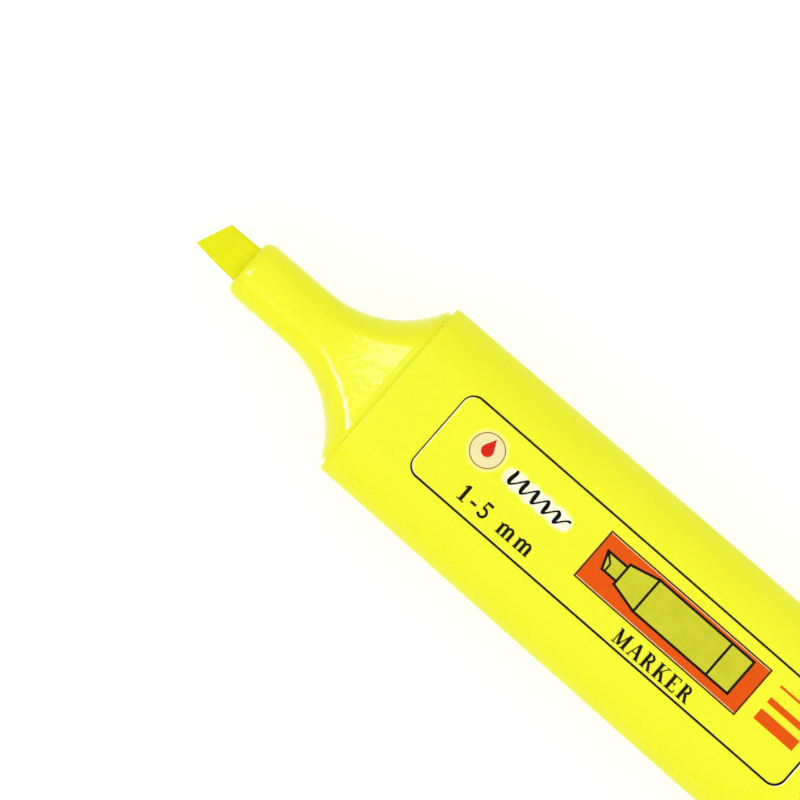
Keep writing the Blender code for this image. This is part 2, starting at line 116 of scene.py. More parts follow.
def roundedBoxLoop(bm, low, high, radius, steps=8):  # a rectangle with round corners, in the flat
    knownEdges = set(bm.edges)
    arcs = []
    for turn, (cornerX, cornerY) in enumerate(((1, 0), (1, 1), (0, 1), (0, 0))):
        centre = Vector((high[0] - radius if cornerX else low[0] + radius,
                         high[1] - radius if cornerY else low[1] + radius, 0))
        start = centre + Matrix.Rotation((turn - 1) * math.pi / 2, 3, "Z") @ Vector((radius, 0, 0))
        arcs.append(spinPoint(bm, start, centre, math.pi / 2, steps))
    closeLoop(bm, arcs)
    return addedSince(knownEdges, bm.edges)


def roundedBoxRing(bm, x, halfWidth, halfHeight, radius, steps=8):
    knownVerts = set(bm.verts)
    ring = roundedBoxLoop(bm, (-halfWidth, -halfHeight), (halfWidth, halfHeight), radius, steps)
    standAcross(bm, x, knownVerts)
    return ring


def bridgeRings(bm, rings, through=False):  # a skin over the rings, open right through or closed at both ends
    for near, far in zip(rings, rings[1:]):
        bmesh.ops.bridge_loops(bm, edges=near + far)
    if through:
        bmesh.ops.bridge_loops(bm, edges=rings[-1] + rings[0])
    else:
        bmesh.ops.edgeloop_fill(bm, edges=rings[0])
        bmesh.ops.edgeloop_fill(bm, edges=rings[-1])


def quarterRound(axial, inset, steps):
    # pairs of distance in from an end and inset of the wall, from the end face inwards
    turns = [math.pi / 2 * step / steps for step in range(steps + 1)]
    return [(axial * (1 - math.sin(turn)), inset * (1 - math.cos(turn))) for turn in reversed(turns)]


def bevelEdges(bm, edges, width, segments):
    bmesh.ops.bevel(bm, geom=edges, offset=width, offset_type="OFFSET", segments=segments,
                    profile=0.5, affect="EDGES", clamp_overlap=True, material=-1)


def extrudeFaces(bm):  # gives the far side's vertices, still to be moved
    grown = bmesh.ops.extrude_face_region(bm, geom=bm.faces[:])
    return [item for item in grown["geom"] if isinstance(item, bmesh.types.BMVert)]


def sharpEdges(bm, degrees):
    return [edge for edge in bm.edges if edge.is_manifold and edge.calc_face_angle() > math.radians(degrees)]


def finishPiece(name, bm, paint, body, replaced=(), sharpAngle=32):
    bmesh.ops.recalc_face_normals(bm, faces=bm.faces)
    if bm.calc_volume(signed=True) < 0:
        bmesh.ops.reverse_faces(bm, faces=bm.faces)
    mesh = bpy.data.meshes.new(name)
    bm.to_mesh(mesh)
    bm.free()
    mesh.shade_smooth()
    mesh.set_sharp_from_angle(angle=math.radians(sharpAngle))
    mesh.materials.append(paint)
    piece = bpy.data.objects.new(name, mesh)
    bpy.context.scene.collection.objects.link(piece)
    if body:
        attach(piece, body)
    if replaced:
        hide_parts(*replaced)
    return piece


# material helpers

def newGroup(name, inputs, outputs):  # an effect that several materials share
    tree = bpy.data.node_groups.new(name, "ShaderNodeTree")
    for label, kind, value in inputs:
        socket = tree.interface.new_socket(name=label, in_out="INPUT", socket_type=kind)
        socket.default_value = value
    for label, kind in outputs:
        tree.interface.new_socket(name=label, in_out="OUTPUT", socket_type=kind)
    return tree, tree.nodes.new("NodeGroupInput"), tree.nodes.new("NodeGroupOutput")


def addNode(tree, kind, settings=None, **values):  # values go to the input sockets that have those names
    node = tree.nodes.new(kind)
    for key, value in (settings or {}).items():
        setattr(node, key, value)
    for key, value in values.items():
        node.inputs[key.replace("_", " ")].default_value = value
    return node


def placeNodes(tree):  # a tidy left-to-right layout, in the order that the nodes were made
    for order, node in enumerate(tree.nodes):
        node.location = (220 * (order % 8), -260 * (order // 8))


def objectPattern(tree, stretch=(1, 1, 1)):  # the piece's own coordinates, stretched along its axes
    coordinates = addNode(tree, "ShaderNodeTexCoord")
    mapping = addNode(tree, "ShaderNodeMapping", Scale=stretch)
    tree.links.new(coordinates.outputs["Object"], mapping.inputs["Vector"])
    return mapping.outputs["Vector"]


def mixBetween(tree, kind, factor, first, second):
    # a Mix node repeats its sockets' names, so they are found by number
    firstSocket, secondSocket, outcome = {"FLOAT": (2, 3, 0), "RGBA": (6, 7, 2)}[kind]
    mix = addNode(tree, "ShaderNodeMix", {"data_type": kind})
    if isinstance(factor, float):
        mix.inputs[0].default_value = factor
    else:
        tree.links.new(factor, mix.inputs[0])
    tree.links.new(first, mix.inputs[firstSocket])
    tree.links.new(second, mix.inputs[secondSocket])
    return mix.outputs[outcome]


def makeToneGroup():  # soft clouds between two tones, as in a lightly translucent moulding
    tree, given, result = newGroup("mouldingTone", [
        ("Tone", "NodeSocketColor", (1, 1, 1, 1)),
        ("Deep Tone", "NodeSocketColor", (1, 1, 1, 1)),
        ("Cloud Scale", "NodeSocketFloat", 120.0),
        ("Speck Scale", "NodeSocketFloat", 2600.0),
        ("Amount", "NodeSocketFloat", 0.5),
    ], [("Color", "NodeSocketColor")])
    links = tree.links
    where = objectPattern(tree)
    clouds = addNode(tree, "ShaderNodeTexNoise", Detail=3.0, Roughness=0.55)
    specks = addNode(tree, "ShaderNodeTexNoise", Detail=1.0, Roughness=0.5)
    for noise, scale in ((clouds, "Cloud Scale"), (specks, "Speck Scale")):
        links.new(where, noise.inputs["Vector"])
        links.new(given.outputs[scale], noise.inputs["Scale"])
    together = addNode(tree, "ShaderNodeMath", {"operation": "MULTIPLY"})
    links.new(clouds.outputs["Fac"], together.inputs[0])
    links.new(specks.outputs["Fac"], together.inputs[1])
    spread = addNode(tree, "ShaderNodeMapRange", From_Min=0.16, From_Max=0.36)
    links.new(together.outputs[0], spread.inputs["Value"])
    share = addNode(tree, "ShaderNodeMath", {"operation": "MULTIPLY"})
    links.new(spread.outputs["Result"], share.inputs[0])
    links.new(given.outputs["Amount"], share.inputs[1])
    mixed = mixBetween(tree, "RGBA", share.outputs[0], given.outputs["Tone"], given.outputs["Deep Tone"])
    links.new(mixed, result.inputs["Color"])
    placeNodes(tree)
    return tree


def makeSkinGroup():  # the moulded skin: fine spark-eroded grain over slow sink waves
    tree, given, result = newGroup("mouldedSkin", [
        ("Grain Scale", "NodeSocketFloat", 3500.0),
        ("Grain Depth", "NodeSocketFloat", 0.002 * mm),
        ("Wave Scale", "NodeSocketFloat", 90.0),
        ("Wave Depth", "NodeSocketFloat", 0.01 * mm),
    ], [("Normal", "NodeSocketVector")])
    links = tree.links
    where = objectPattern(tree)
    wave = addNode(tree, "ShaderNodeTexNoise", Detail=2.0, Roughness=0.45)
    grain = addNode(tree, "ShaderNodeTexNoise", Detail=2.0, Roughness=0.6)
    normal = None
    for noise, name in ((wave, "Wave"), (grain, "Grain")):
        bump = addNode(tree, "ShaderNodeBump", Strength=1.0)
        links.new(where, noise.inputs["Vector"])
        links.new(given.outputs[f"{name} Scale"], noise.inputs["Scale"])
        links.new(given.outputs[f"{name} Depth"], bump.inputs["Distance"])
        links.new(noise.outputs["Fac"], bump.inputs["Height"])
        if normal:
            links.new(normal, bump.inputs["Normal"])
        normal = bump.outputs["Normal"]
    links.new(normal, result.inputs["Normal"])
    placeNodes(tree)
    return tree


def makeScuffGroup():  # fine handling scratches and dull rubbed spots
    tree, given, result = newGroup("handlingScuffs", [
        ("Roughness", "NodeSocketFloat", 0.3),
        ("Scuffed Roughness", "NodeSocketFloat", 0.45),
        ("Scratch Scale", "NodeSocketFloat", 180.0),
        ("Rub Scale", "NodeSocketFloat", 60.0),
    ], [("Roughness", "NodeSocketFloat")])
    links = tree.links
    masks = []
    wear = (("Scratch", (0.12, 3.0, 3.0), 0.66, 0.74), ("Rub", (1, 1, 1), 0.50, 0.78))
    for name, stretch, low, high in wear:  # the noise's stretch, where the wear sets in, where it is full
        noise = addNode(tree, "ShaderNodeTexNoise", Detail=4.0, Roughness=0.6)
        links.new(objectPattern(tree, stretch), noise.inputs["Vector"])
        links.new(given.outputs[f"{name} Scale"], noise.inputs["Scale"])
        spread = addNode(tree, "ShaderNodeMapRange", From_Min=low, From_Max=high)
        links.new(noise.outputs["Fac"], spread.inputs["Value"])
        masks.append(spread.outputs["Result"])
    most = addNode(tree, "ShaderNodeMath", {"operation": "MAXIMUM"})
    for mask, socket in zip(masks, most.inputs):
        links.new(mask, socket)
    mixed = mixBetween(tree, "FLOAT", most.outputs[0], given.outputs["Roughness"],
                       given.outputs["Scuffed Roughness"])
    links.new(mixed, result.inputs["Roughness"])
    placeNodes(tree)
    return tree


def makeStrandGroup():  # pressed fibres that run along the pen
    tree, given, result = newGroup("fibreStrands", [
        ("Strand Scale", "NodeSocketFloat", 2600.0),
        ("Strand Depth", "NodeSocketFloat", 0.02 * mm),
        ("Light Tone", "NodeSocketColor", (1, 1, 1, 1)),
        ("Deep Tone", "NodeSocketColor", (1, 1, 1, 1)),
    ], [("Color", "NodeSocketColor"), ("Normal", "NodeSocketVector")])
    links = tree.links
    strands = addNode(tree, "ShaderNodeTexNoise", Detail=4.0, Roughness=0.65, Distortion=0.4)
    links.new(objectPattern(tree, (0.09, 1, 1)), strands.inputs["Vector"])
    links.new(given.outputs["Strand Scale"], strands.inputs["Scale"])
    pores = addNode(tree, "ShaderNodeTexNoise", Scale=900.0, Detail=3.0, Roughness=0.6)
    links.new(objectPattern(tree), pores.inputs["Vector"])
    height = mixBetween(tree, "FLOAT", 0.4, strands.outputs["Fac"], pores.outputs["Fac"])
    spread = addNode(tree, "ShaderNodeMapRange", From_Min=0.36, From_Max=0.62)
    links.new(height, spread.inputs["Value"])
    mixed = mixBetween(tree, "RGBA", spread.outputs["Result"], given.outputs["Deep Tone"],
                       given.outputs["Light Tone"])
    bump = addNode(tree, "ShaderNodeBump", Strength=1.0)
    links.new(height, bump.inputs["Height"])
    links.new(given.outputs["Strand Depth"], bump.inputs["Distance"])
    links.new(mixed, result.inputs["Color"])
    links.new(bump.outputs["Normal"], result.inputs["Normal"])
    placeNodes(tree)
    return tree


toneGroup = makeToneGroup()
skinGroup = makeSkinGroup()
scuffGroup = makeScuffGroup()
strandGroup = makeStrandGroup()


def useGroup(tree, group, **values):
    node = tree.nodes.new("ShaderNodeGroup")
    node.node_tree = group
    for key, value in values.items():
        node.inputs[key.replace("_", " ")].default_value = value
    return node


def startMaterial(name, **values):  # values are constants on the shader's own sockets
    paint = bpy.data.materials.new(name)
    paint.use_nodes = True
    shader = paint.node_tree.nodes["Principled BSDF"]
    for key, value in values.items():
        shader.inputs[key.replace("_", " ")].default_value = value
    return paint, paint.node_tree, shader


def joinSurface(tree, shader, colour, skin, scuffs):
    tree.links.new(colour.outputs["Color"], shader.inputs["Base Color"])
    tree.links.new(skin.outputs["Normal"], shader.inputs["Normal"])
    tree.links.new(scuffs.outputs["Roughness"], shader.inputs["Roughness"])
    placeNodes(tree)


def mouldedPlastic(name, look):
    paint, tree, shader = startMaterial(name, IOR=look["ior"], Specular_IOR_Level=look["specular"])
    tone = useGroup(tree, toneGroup, Tone=look["tone"], Deep_Tone=look["deepTone"],
                    Cloud_Scale=look["cloudScale"], Amount=look["cloudAmount"])
    skin = useGroup(tree, skinGroup, Grain_Scale=look["grainScale"], Grain_Depth=look["grainDepth"],
                    Wave_Scale=look["waveScale"], Wave_Depth=look["waveDepth"])
    scuffs = useGroup(tree, scuffGroup, Roughness=look["roughness"],
                      Scuffed_Roughness=look["scuffedRoughness"])
    joinSurface(tree, shader, tone, skin, scuffs)
    return paint


def soakedFibre(name, look):
    paint, tree, shader = startMaterial(name, Sheen_Weight=look["sheen"], Sheen_Roughness=0.5,
                                        Specular_IOR_Level=look["specular"])
    strands = useGroup(tree, strandGroup, Strand_Scale=look["strandScale"], Strand_Depth=look["strandDepth"],
                       Light_Tone=look["lightTone"], Deep_Tone=look["deepTone"])
    scuffs = useGroup(tree, scuffGroup, Roughness=look["roughness"],
                      Scuffed_Roughness=look["scuffedRoughness"])
    joinSurface(tree, shader, strands, strands, scuffs)
    return paint


inkLook = {
    "specular": 0.06, "cloudScale": 500.0, "speckScale": 5200.0, "cloudAmount": 0.6, "grainScale": 4200.0,
    "grainDepth": 0.0015 * mm, "roughness": 0.38, "scuffedRoughness": 0.50,
}


def printInk(name, tone, deepTone):  # a film of ink, a little uneven where the pad laid it down
    paint, tree, shader = startMaterial(name, Specular_IOR_Level=inkLook["specular"])
    cover = useGroup(tree, toneGroup, Tone=(*tone, 1), Deep_Tone=(*deepTone, 1),
                     Cloud_Scale=inkLook["cloudScale"], Speck_Scale=inkLook["speckScale"],
                     Amount=inkLook["cloudAmount"])
    skin = useGroup(tree, skinGroup, Grain_Scale=inkLook["grainScale"], Grain_Depth=inkLook["grainDepth"],
                    Wave_Depth=0.0)
    scuffs = useGroup(tree, scuffGroup, Roughness=inkLook["roughness"],
                      Scuffed_Roughness=inkLook["scuffedRoughness"])
    joinSurface(tree, shader, cover, skin, scuffs)
    return paint


satinLook = {
    "tone": (0.930, 0.945, 0.027, 1), "deepTone": (0.885, 0.905, 0.018, 1), "cloudScale": 70.0,
    "cloudAmount": 0.6, "grainScale": 3800.0, "grainDepth": 0.0035 * mm, "waveScale": 60.0,
    "waveDepth": 0.01 * mm, "roughness": 0.44, "scuffedRoughness": 0.54, "ior": 1.49, "specular": 0.10,
}
glossLook = dict(satinLook, tone=(0.930, 0.945, 0.026, 1), deepTone=(0.89, 0.905, 0.016, 1), cloudScale=160.0,
                 grainScale=2200.0, grainDepth=0.0006 * mm, waveScale=900.0, waveDepth=0.055 * mm,
                 roughness=0.13, scuffedRoughness=0.22, specular=0.15)
capLook = dict(glossLook, waveScale=110.0, waveDepth=0.02 * mm, roughness=0.24, scuffedRoughness=0.36,
               specular=0.3)
linerLook = dict(satinLook, tone=(0.90, 0.92, 0.10, 1), deepTone=(0.84, 0.87, 0.07, 1), roughness=0.34)
nibLook = {
    "lightTone": (0.87, 0.87, 0.002, 1), "deepTone": (0.81, 0.81, 0.001, 1), "strandScale": 3200.0,
    "strandDepth": 0.010 * mm, "roughness": 0.82, "scuffedRoughness": 0.65, "sheen": 0.03, "specular": 0.08,
}
coreLook = dict(nibLook, lightTone=(0.84, 0.88, 0.03, 1), deepTone=(0.64, 0.70, 0.01, 1), strandScale=1500.0,
                strandDepth=0.06 * mm, sheen=0.2)
filmLook = dict(satinLook, tone=(0.84, 0.86, 0.62, 1), deepTone=(0.78, 0.80, 0.50, 1), roughness=0.2,
                scuffedRoughness=0.35, grainDepth=0.001 * mm, specular=0.4)

barrelPaint = mouldedPlastic("satinYellowBarrel", satinLook)
sectionPaint = mouldedPlastic("glossYellowSection", glossLook)
capPaint = mouldedPlastic("glossYellowCap", capLook)
plugPaint = mouldedPlastic("satinYellowPlug", dict(satinLook, roughness=0.36, cloudScale=110.0))
linerPaint = mouldedPlastic("softYellowLiner", linerLook)
nibPaint = soakedFibre("inkSoakedNib", nibLook)
corePaint = soakedFibre("inkSoakedCore", coreLook)
filmPaint = mouldedPlastic("reservoirFilm", filmLook)
blackInk = printInk("blackInk", (0.004, 0.004, 0.002), (0.012, 0.012, 0.004))
whiteInk = printInk("whiteInk", (0.95, 0.95, 0.80), (0.93, 0.93, 0.55))
haloInk = printInk("paleHaloInk", (0.94, 0.95, 0.24), (0.94, 0.95, 0.14))
creamInk = printInk("creamInk", (0.91, 0.82, 0.46), (0.91, 0.80, 0.34))
redInk = printInk("redInk", (0.74, 0.018, 0.006), (0.64, 0.014, 0.004))
brownInk = printInk("brownInk", (0.28, 0.040, 0.012), (0.40, 0.08, 0.02))
orangeInk = printInk("orangeInk", (0.84, 0.100, 0.001), (0.76, 0.080, 0.001))
darkInk = printInk("darkBrownInk", (0.060, 0.010, 0.004), (0.110, 0.016, 0.004))
oliveInk = printInk("oliveInk", (0.66, 0.66, 0.030), (0.54, 0.54, 0.018))
print("materials made")


# barrel: a flat-faced tube with softly rounded lips

barrel = {
    "halfWidth": 12.55 * mm, "tailHalfWidth": 13.06 * mm, "halfFlat": 6.4 * mm, "wall": 1.4 * mm,
    "lipAxial": 0.4 * mm, "lipInset": 0.4 * mm, "fillet": 0.6 * mm,
}
barrelLength = barrelHigh.x - lipX
halfThick = barrelHigh.z - axisZ


def bodyHalfWidth(station):
    share = station / barrelLength
    return barrel["halfWidth"] + share * (barrel["tailHalfWidth"] - barrel["halfWidth"])


def bodyRing(bm, station, inset, x=None):  # as wide as the barrel is at that station, and there unless x says
    return ovalRing(bm, lipX + station if x is None else x, bodyHalfWidth(station) - inset, halfThick - inset,
                    barrel["halfFlat"] - inset * flatShrink, barrel["fillet"])


def makeBarrel():
    bm = bmesh.new()
    front = quarterRound(barrel["lipAxial"], barrel["lipInset"], 5)
    back = quarterRound(barrel["lipAxial"], barrel["lipInset"] / 2, 4)
    rings = [bodyRing(bm, distance, inset) for distance, inset in front]
    rings += [bodyRing(bm, barrelLength * share, 0.0) for share in (0.12, 0.5, 0.88)]
    rings += [bodyRing(bm, barrelLength - distance, inset) for distance, inset in reversed(back)]
    rings += [bodyRing(bm, station, barrel["wall"]) for station in (barrelLength - hair, hair)]
    bridgeRings(bm, rings, through=True)
    finishPiece("barrelShell", bm, barrelPaint, "pen_body", ["barrel"])


makeBarrel()
print("barrel made")


# front section: nozzle, flared shoulder with creased faces, collar and skirt

section = {
    "nozzleRadius": 3.98 * mm, "frontRadius": 3.0 * mm, "noseAxial": 1.6 * mm, "noseShave": 0.05 * mm,
    "noseFlat": 0.26 * mm, "noseFillet": 0.1 * mm, "flareStart": 12.9 * mm, "flareEnd": 0.85 * mm,
    "slimUntil": 7.4 * mm, "pullAhead": 2.97 * mm, "pullHalfWidth": 7.0 * mm, "flareHalfWidth": 11.2 * mm,
    "flareHalfHeight": 6.0 * mm, "faceRise": 1.7, "flatSpread": 0.33, "flatCurve": 13.0, "fillet": 0.95 * mm,
    "collarHalfWidth": 11.52 * mm, "collarHalfHeight": 6.18 * mm, "collarHalfFlat": 6.3 * mm,
    "skirtLength": 7.0 * mm, "skirtWall": 1.1 * mm, "skirtPlay": 0.18 * mm, "skirtLeadLength": 0.6 * mm,
    "skirtLead": 0.4 * mm, "skirtFloor": 0.2 * mm, "funnelFillet": 0.3 * mm, "boreBack": 10.5 * mm,
    "boreHalfWidth": 2.7 * mm, "boreHalfHeight": 1.8 * mm, "boreCorner": 1.0 * mm,
    "boreChamfer": 0.18 * mm, "chamferDepth": 0.25 * mm,
}
# millimetres, starting with the distance ahead of the barrel's lip: a collar ring then says how much
# narrower and lower it is, and a funnel ring its half width, half height and half flat
collarRings = [(0.6, 0.07, 0.05), (0.5, 0.015, 0.01), (0.42, 0.0, 0.0), (0.01, 0.0, 0.0)]
funnelRings = [(3.5, 5.9, 3.6, 3.2), (8.0, 3.5, 2.6, 1.6)]


def flareRings(bm, steps):  # the sides follow a Bezier curve; the faces rise by a power curve
    radius = section["nozzleRadius"]
    knots = ((section["flareStart"], radius), (section["slimUntil"], radius),
             (section["pullAhead"], section["pullHalfWidth"]),
             (section["flareEnd"], section["flareHalfWidth"]))
    length = section["flareStart"] - section["flareEnd"]
    rings = []
    for step in range(steps + 1):
        t = step / steps
        weights = ((1 - t) ** 3, 3 * t * (1 - t) ** 2, 3 * t ** 2 * (1 - t), t ** 3)
        ahead = sum(weight * knot[0] for weight, knot in zip(weights, knots))
        halfWidth = sum(weight * knot[1] for weight, knot in zip(weights, knots))
        run = section["flareStart"] - ahead
        share = max(0.0, run / length)
        halfHeight = radius + (section["flareHalfHeight"] - radius) * share ** section["faceRise"]
        halfFlat = section["noseFlat"] + section["flatSpread"] * run + section["flatCurve"] * run ** 2
        fillet = min(section["fillet"], halfFlat * 0.45)
        rings.append(ovalRing(bm, lipX - ahead, halfWidth, halfHeight, halfFlat, fillet))
    return rings


def makeSection():
    bm = bmesh.new()
    nose = quarterRound(section["noseAxial"], section["nozzleRadius"] - section["frontRadius"], 8)
    flat = section["noseFlat"]
    rings = []
    for distance, inset in nose:
        radius = section["nozzleRadius"] - section["noseShave"] - inset
        halfHeight = math.sqrt(radius ** 2 - flat ** 2)
        rings.append(ovalRing(bm, noseX + distance, radius, halfHeight, flat, section["noseFillet"]))
    rings += flareRings(bm, 28)
    for ahead, narrower, lower in collarRings:
        rings.append(ovalRing(bm, lipX - ahead * mm, section["collarHalfWidth"] - narrower * mm,
                              section["collarHalfHeight"] - lower * mm, section["collarHalfFlat"],
                              section["fillet"]))
    fit = barrel["wall"] + section["skirtPlay"]
    inside = fit + section["skirtWall"]
    rings.append(bodyRing(bm, 0.0, fit, x=lipX + hair))
    rings += [bodyRing(bm, station, inset) for station, inset in (
        (section["skirtLength"] - section["skirtLeadLength"], fit),
        (section["skirtLength"], fit + section["skirtLead"]),
        (section["skirtLength"] - hair, inside), (section["skirtFloor"], inside))]
    rings += [ovalRing(bm, lipX - ahead * mm, halfWidth * mm, halfHeight * mm, halfFlat * mm,
                       section["funnelFillet"]) for ahead, halfWidth, halfHeight, halfFlat in funnelRings]
    for x, wider in ((lipX - section["boreBack"], 0.0), (noseX + section["chamferDepth"], 0.0),
                     (noseX + hair, section["boreChamfer"])):
        rings.append(roundedBoxRing(bm, x, section["boreHalfWidth"] + wider,
                                    section["boreHalfHeight"] + wider, section["boreCorner"] + wider))
    bridgeRings(bm, rings, through=True)
    finishPiece("sectionShell", bm, sectionPaint, "pen_body", ["front_section"], 38)


makeSection()
print("front section made")


# nib: a pressed fibre bar with a slanted chisel end

nib = {
    "halfWidth": 2.5 * mm, "halfHeight": 1.6 * mm, "corner": 0.45 * mm, "tipHalfWidth": 2.2 * mm,
    "tipHalfHeight": 0.72 * mm, "slant": 1.75 * mm, "bevelLength": 3.4 * mm, "shift": 0.2 * mm,
    "swell": 0.1 * mm, "tipEdge": (0.06 * mm, 0.05 * mm, 0.12 * mm), "heel": 0.3 * mm,
    "backTaper": (1.0 * mm, 0.5 * mm, 0.4 * mm),  # these two tapers: length, narrower, lower
}


def nibRing(bm, x, halfWidth, halfHeight, slant=0.0, shift=0.0):
    known = set(bm.verts)
    radius = min(nib["corner"], halfHeight * 0.7)
    ring = roundedBoxRing(bm, x, halfWidth, halfHeight, radius, steps=5)
    for vert in addedSince(known, bm.verts):  # the +Y side stands back by the slant
        vert.co.x += slant * (vert.co.y + halfWidth) / (2 * halfWidth)
        vert.co.y += shift
    return ring


def makeNib():
    bm = bmesh.new()
    tipX = nibLow.x
    width, height = nib["tipHalfWidth"], nib["tipHalfHeight"]
    edgeLength, narrower, lower = nib["tipEdge"]
    rings = [nibRing(bm, tipX, width - narrower, height - lower, nib["slant"], nib["shift"]),
             nibRing(bm, tipX + edgeLength, width, height, nib["slant"], nib["shift"])]
    for share in (0.25, 0.5, 0.75, 0.95):  # the slant and the shift fade along the bevel
        rings.append(nibRing(bm, tipX + nib["bevelLength"] * share,
                             width + (nib["halfWidth"] - nib["swell"] - width) * share,
                             height + (nib["halfHeight"] - height) * share,
                             nib["slant"] * (1 - 0.3 * share), nib["shift"] * (1 - 0.75 * share)))
    rings.append(nibRing(bm, tipX + nib["bevelLength"] + nib["heel"], nib["halfWidth"] - nib["swell"] * 0.9,
                         nib["halfHeight"], nib["slant"] * 0.62, nib["shift"] * 0.2))
    taperLength, narrower, lower = nib["backTaper"]
    rings += [nibRing(bm, noseX, nib["halfWidth"], nib["halfHeight"]),
              nibRing(bm, nibHigh.x - taperLength, nib["halfWidth"], nib["halfHeight"]),
              nibRing(bm, nibHigh.x, nib["halfWidth"] - narrower, nib["halfHeight"] - lower)]
    bridgeRings(bm, rings)
    finishPiece("nibFibre", bm, nibPaint, "pen_body", ["nib"], 30)


makeNib()
print("nib made")


# ink reservoir and its film stay as they are, inside

for nodeName, paint in (("ink_reservoir", corePaint), ("reservoir_wrap", filmPaint)):
    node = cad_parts[nodeName]
    node.data.materials.clear()
    node.data.materials.append(paint)
print("reservoir painted")


# tail plug: spigot, flange and the stub that holds the posted cap

plug = {
    "flange": 1.6 * mm, "gap": 0.15 * mm, "spigot": 6.0 * mm, "spigotLeadLength": 0.6 * mm,
    "spigotLead": 0.3 * mm, "stubHalfWidth": 11.35 * mm, "stubHalfHeight": 6.02 * mm,
    "stubHalfFlat": 6.1 * mm, "stubDraft": 0.1 * mm, "endRound": 0.9 * mm, "endFillet": 0.3 * mm,
    "fillet": 0.4 * mm, "wall": 1.1 * mm, "hollowHalfHeight": 4.4 * mm, "hollowNarrower": 0.8 * mm,
    "edge": 0.18 * mm, "beadHeight": 0.06 * mm, "prongOffset": 5.0 * mm, "prongThick": 1.0 * mm,
    "prongHalfHeight": 4.2 * mm, "prongPlay": 0.3 * mm, "prongEdge": 0.15 * mm,
}
beadRings = [(3.1, 0), (2.6, 1), (2.1, 1), (1.6, 0)]  # millimetres behind the flange, and whether raised


def makeProng(bm, offset, root):  # a blade that stops the ink reservoir, slimmer towards its tip
    knownEdges, knownVerts = set(bm.edges), set(bm.verts)
    bmesh.ops.create_cube(bm, size=1)
    blade = addedSince(knownVerts, bm.verts)
    reach = root - coreEndX - plug["prongPlay"]
    bmesh.ops.scale(bm, vec=(reach, plug["prongThick"], 2 * plug["prongHalfHeight"]), verts=blade)
    tip = [vert for vert in blade if vert.co.x < 0]
    bmesh.ops.scale(bm, vec=(1, 0.75, 0.9), verts=tip)
    bmesh.ops.translate(bm, vec=(root - reach / 2, offset, axisZ), verts=blade)
    bevelEdges(bm, addedSince(knownEdges, bm.edges), plug["prongEdge"], 2)


def makePlug():
    bm = bmesh.new()
    flangeX = barrelHigh.x + plug["gap"]
    stubX = flangeX + plug["flange"]
    spigotX = barrelHigh.x - plug["spigot"]
    fit = barrel["wall"] + section["skirtPlay"]
    wall = plug["wall"]
    width, height, flat = plug["stubHalfWidth"], plug["stubHalfHeight"], plug["stubHalfFlat"]
    rings = []
    for distance, inset in quarterRound(plug["endRound"], plug["endRound"], 6):
        lower = plug["stubDraft"] + inset
        rings.append(ovalRing(bm, plugEndX - distance, width - lower, height - lower, flat - inset,
                              plug["endFillet"]))
    for distance, bead in [*beadRings, (hair / mm, 0)]:
        raised = bead * plug["beadHeight"]
        rings.append(ovalRing(bm, stubX + distance * mm, width + raised, height + raised, flat,
                              plug["fillet"]))
    edge = quarterRound(plug["edge"], plug["edge"], 3)
    rings += [bodyRing(bm, barrelLength, inset, x=stubX - distance) for distance, inset in edge]
    rings += [bodyRing(bm, barrelLength, inset, x=flangeX + distance) for distance, inset in reversed(edge)]
    rings += [bodyRing(bm, barrelLength, inset, x=x) for x, inset in
              ((flangeX - hair, fit), (spigotX + plug["spigotLeadLength"], fit),
               (spigotX, fit + plug["spigotLead"]))]
    rings += [ovalRing(bm, x, width - wall - draft, plug["hollowHalfHeight"] - draft,
                       flat - plug["hollowNarrower"], plug["endFillet"])
              for x, draft in ((spigotX + hair, 0.0), (plugEndX - wall, plug["stubDraft"]))]
    bridgeRings(bm, rings)
    for side in (-1, 1):
        makeProng(bm, side * plug["prongOffset"], plugEndX - wall / 2)
    finishPiece("tailPlugShell", bm, plugPaint, "pen_body", ["tail_plug"], 35)


makePlug()
print("tail plug made")


# cap: a shell with a rounded end, open towards the tail's stub

cap = {
    "halfWidth": 12.55 * mm, "endHalfWidth": 12.1 * mm, "endHalfHeight": 6.9 * mm, "halfFlat": 6.4 * mm,
    "endRound": 1.6 * mm, "rimRound": 0.25 * mm, "rimWall": 0.95 * mm, "endWall": 1.2 * mm,
    "fillet": 0.6 * mm, "floorRound": 0.6 * mm, "wallDraft": 0.1 * mm,
}
capLength = capHigh.x - capRimX


def capRing(bm, depth, inset):
    share = depth / capLength
    halfWidth = cap["halfWidth"] + share * (cap["endHalfWidth"] - cap["halfWidth"])
    halfHeight = halfThick + share * (cap["endHalfHeight"] - halfThick)
    return ovalRing(bm, capRimX + depth, halfWidth - inset, halfHeight - inset,
                    cap["halfFlat"] - inset * flatShrink, cap["fillet"])


def makeCap():
    bm = bmesh.new()
    rings = [capRing(bm, capLength - distance, inset)
             for distance, inset in quarterRound(cap["endRound"], cap["endRound"], 9)]
    rings.append(capRing(bm, capLength / 2, 0.0))
    rings += [capRing(bm, distance, inset)
              for distance, inset in reversed(quarterRound(cap["rimRound"], cap["rimRound"], 4))]
    floorDepth = capLength - cap["endWall"]
    rings += [capRing(bm, depth, cap["rimWall"] + inset) for depth, inset in
              ((hair, 0.0), (floorDepth - cap["floorRound"], cap["wallDraft"]),
               (floorDepth, cap["floorRound"]))]
    bridgeRings(bm, rings)
    finishPiece("capShell", bm, capPaint, "cap_body", ["cap"], 35)


makeCap()
print("cap made")


# cap liner: a plate across the cap's end with the round cup that seals the nozzle

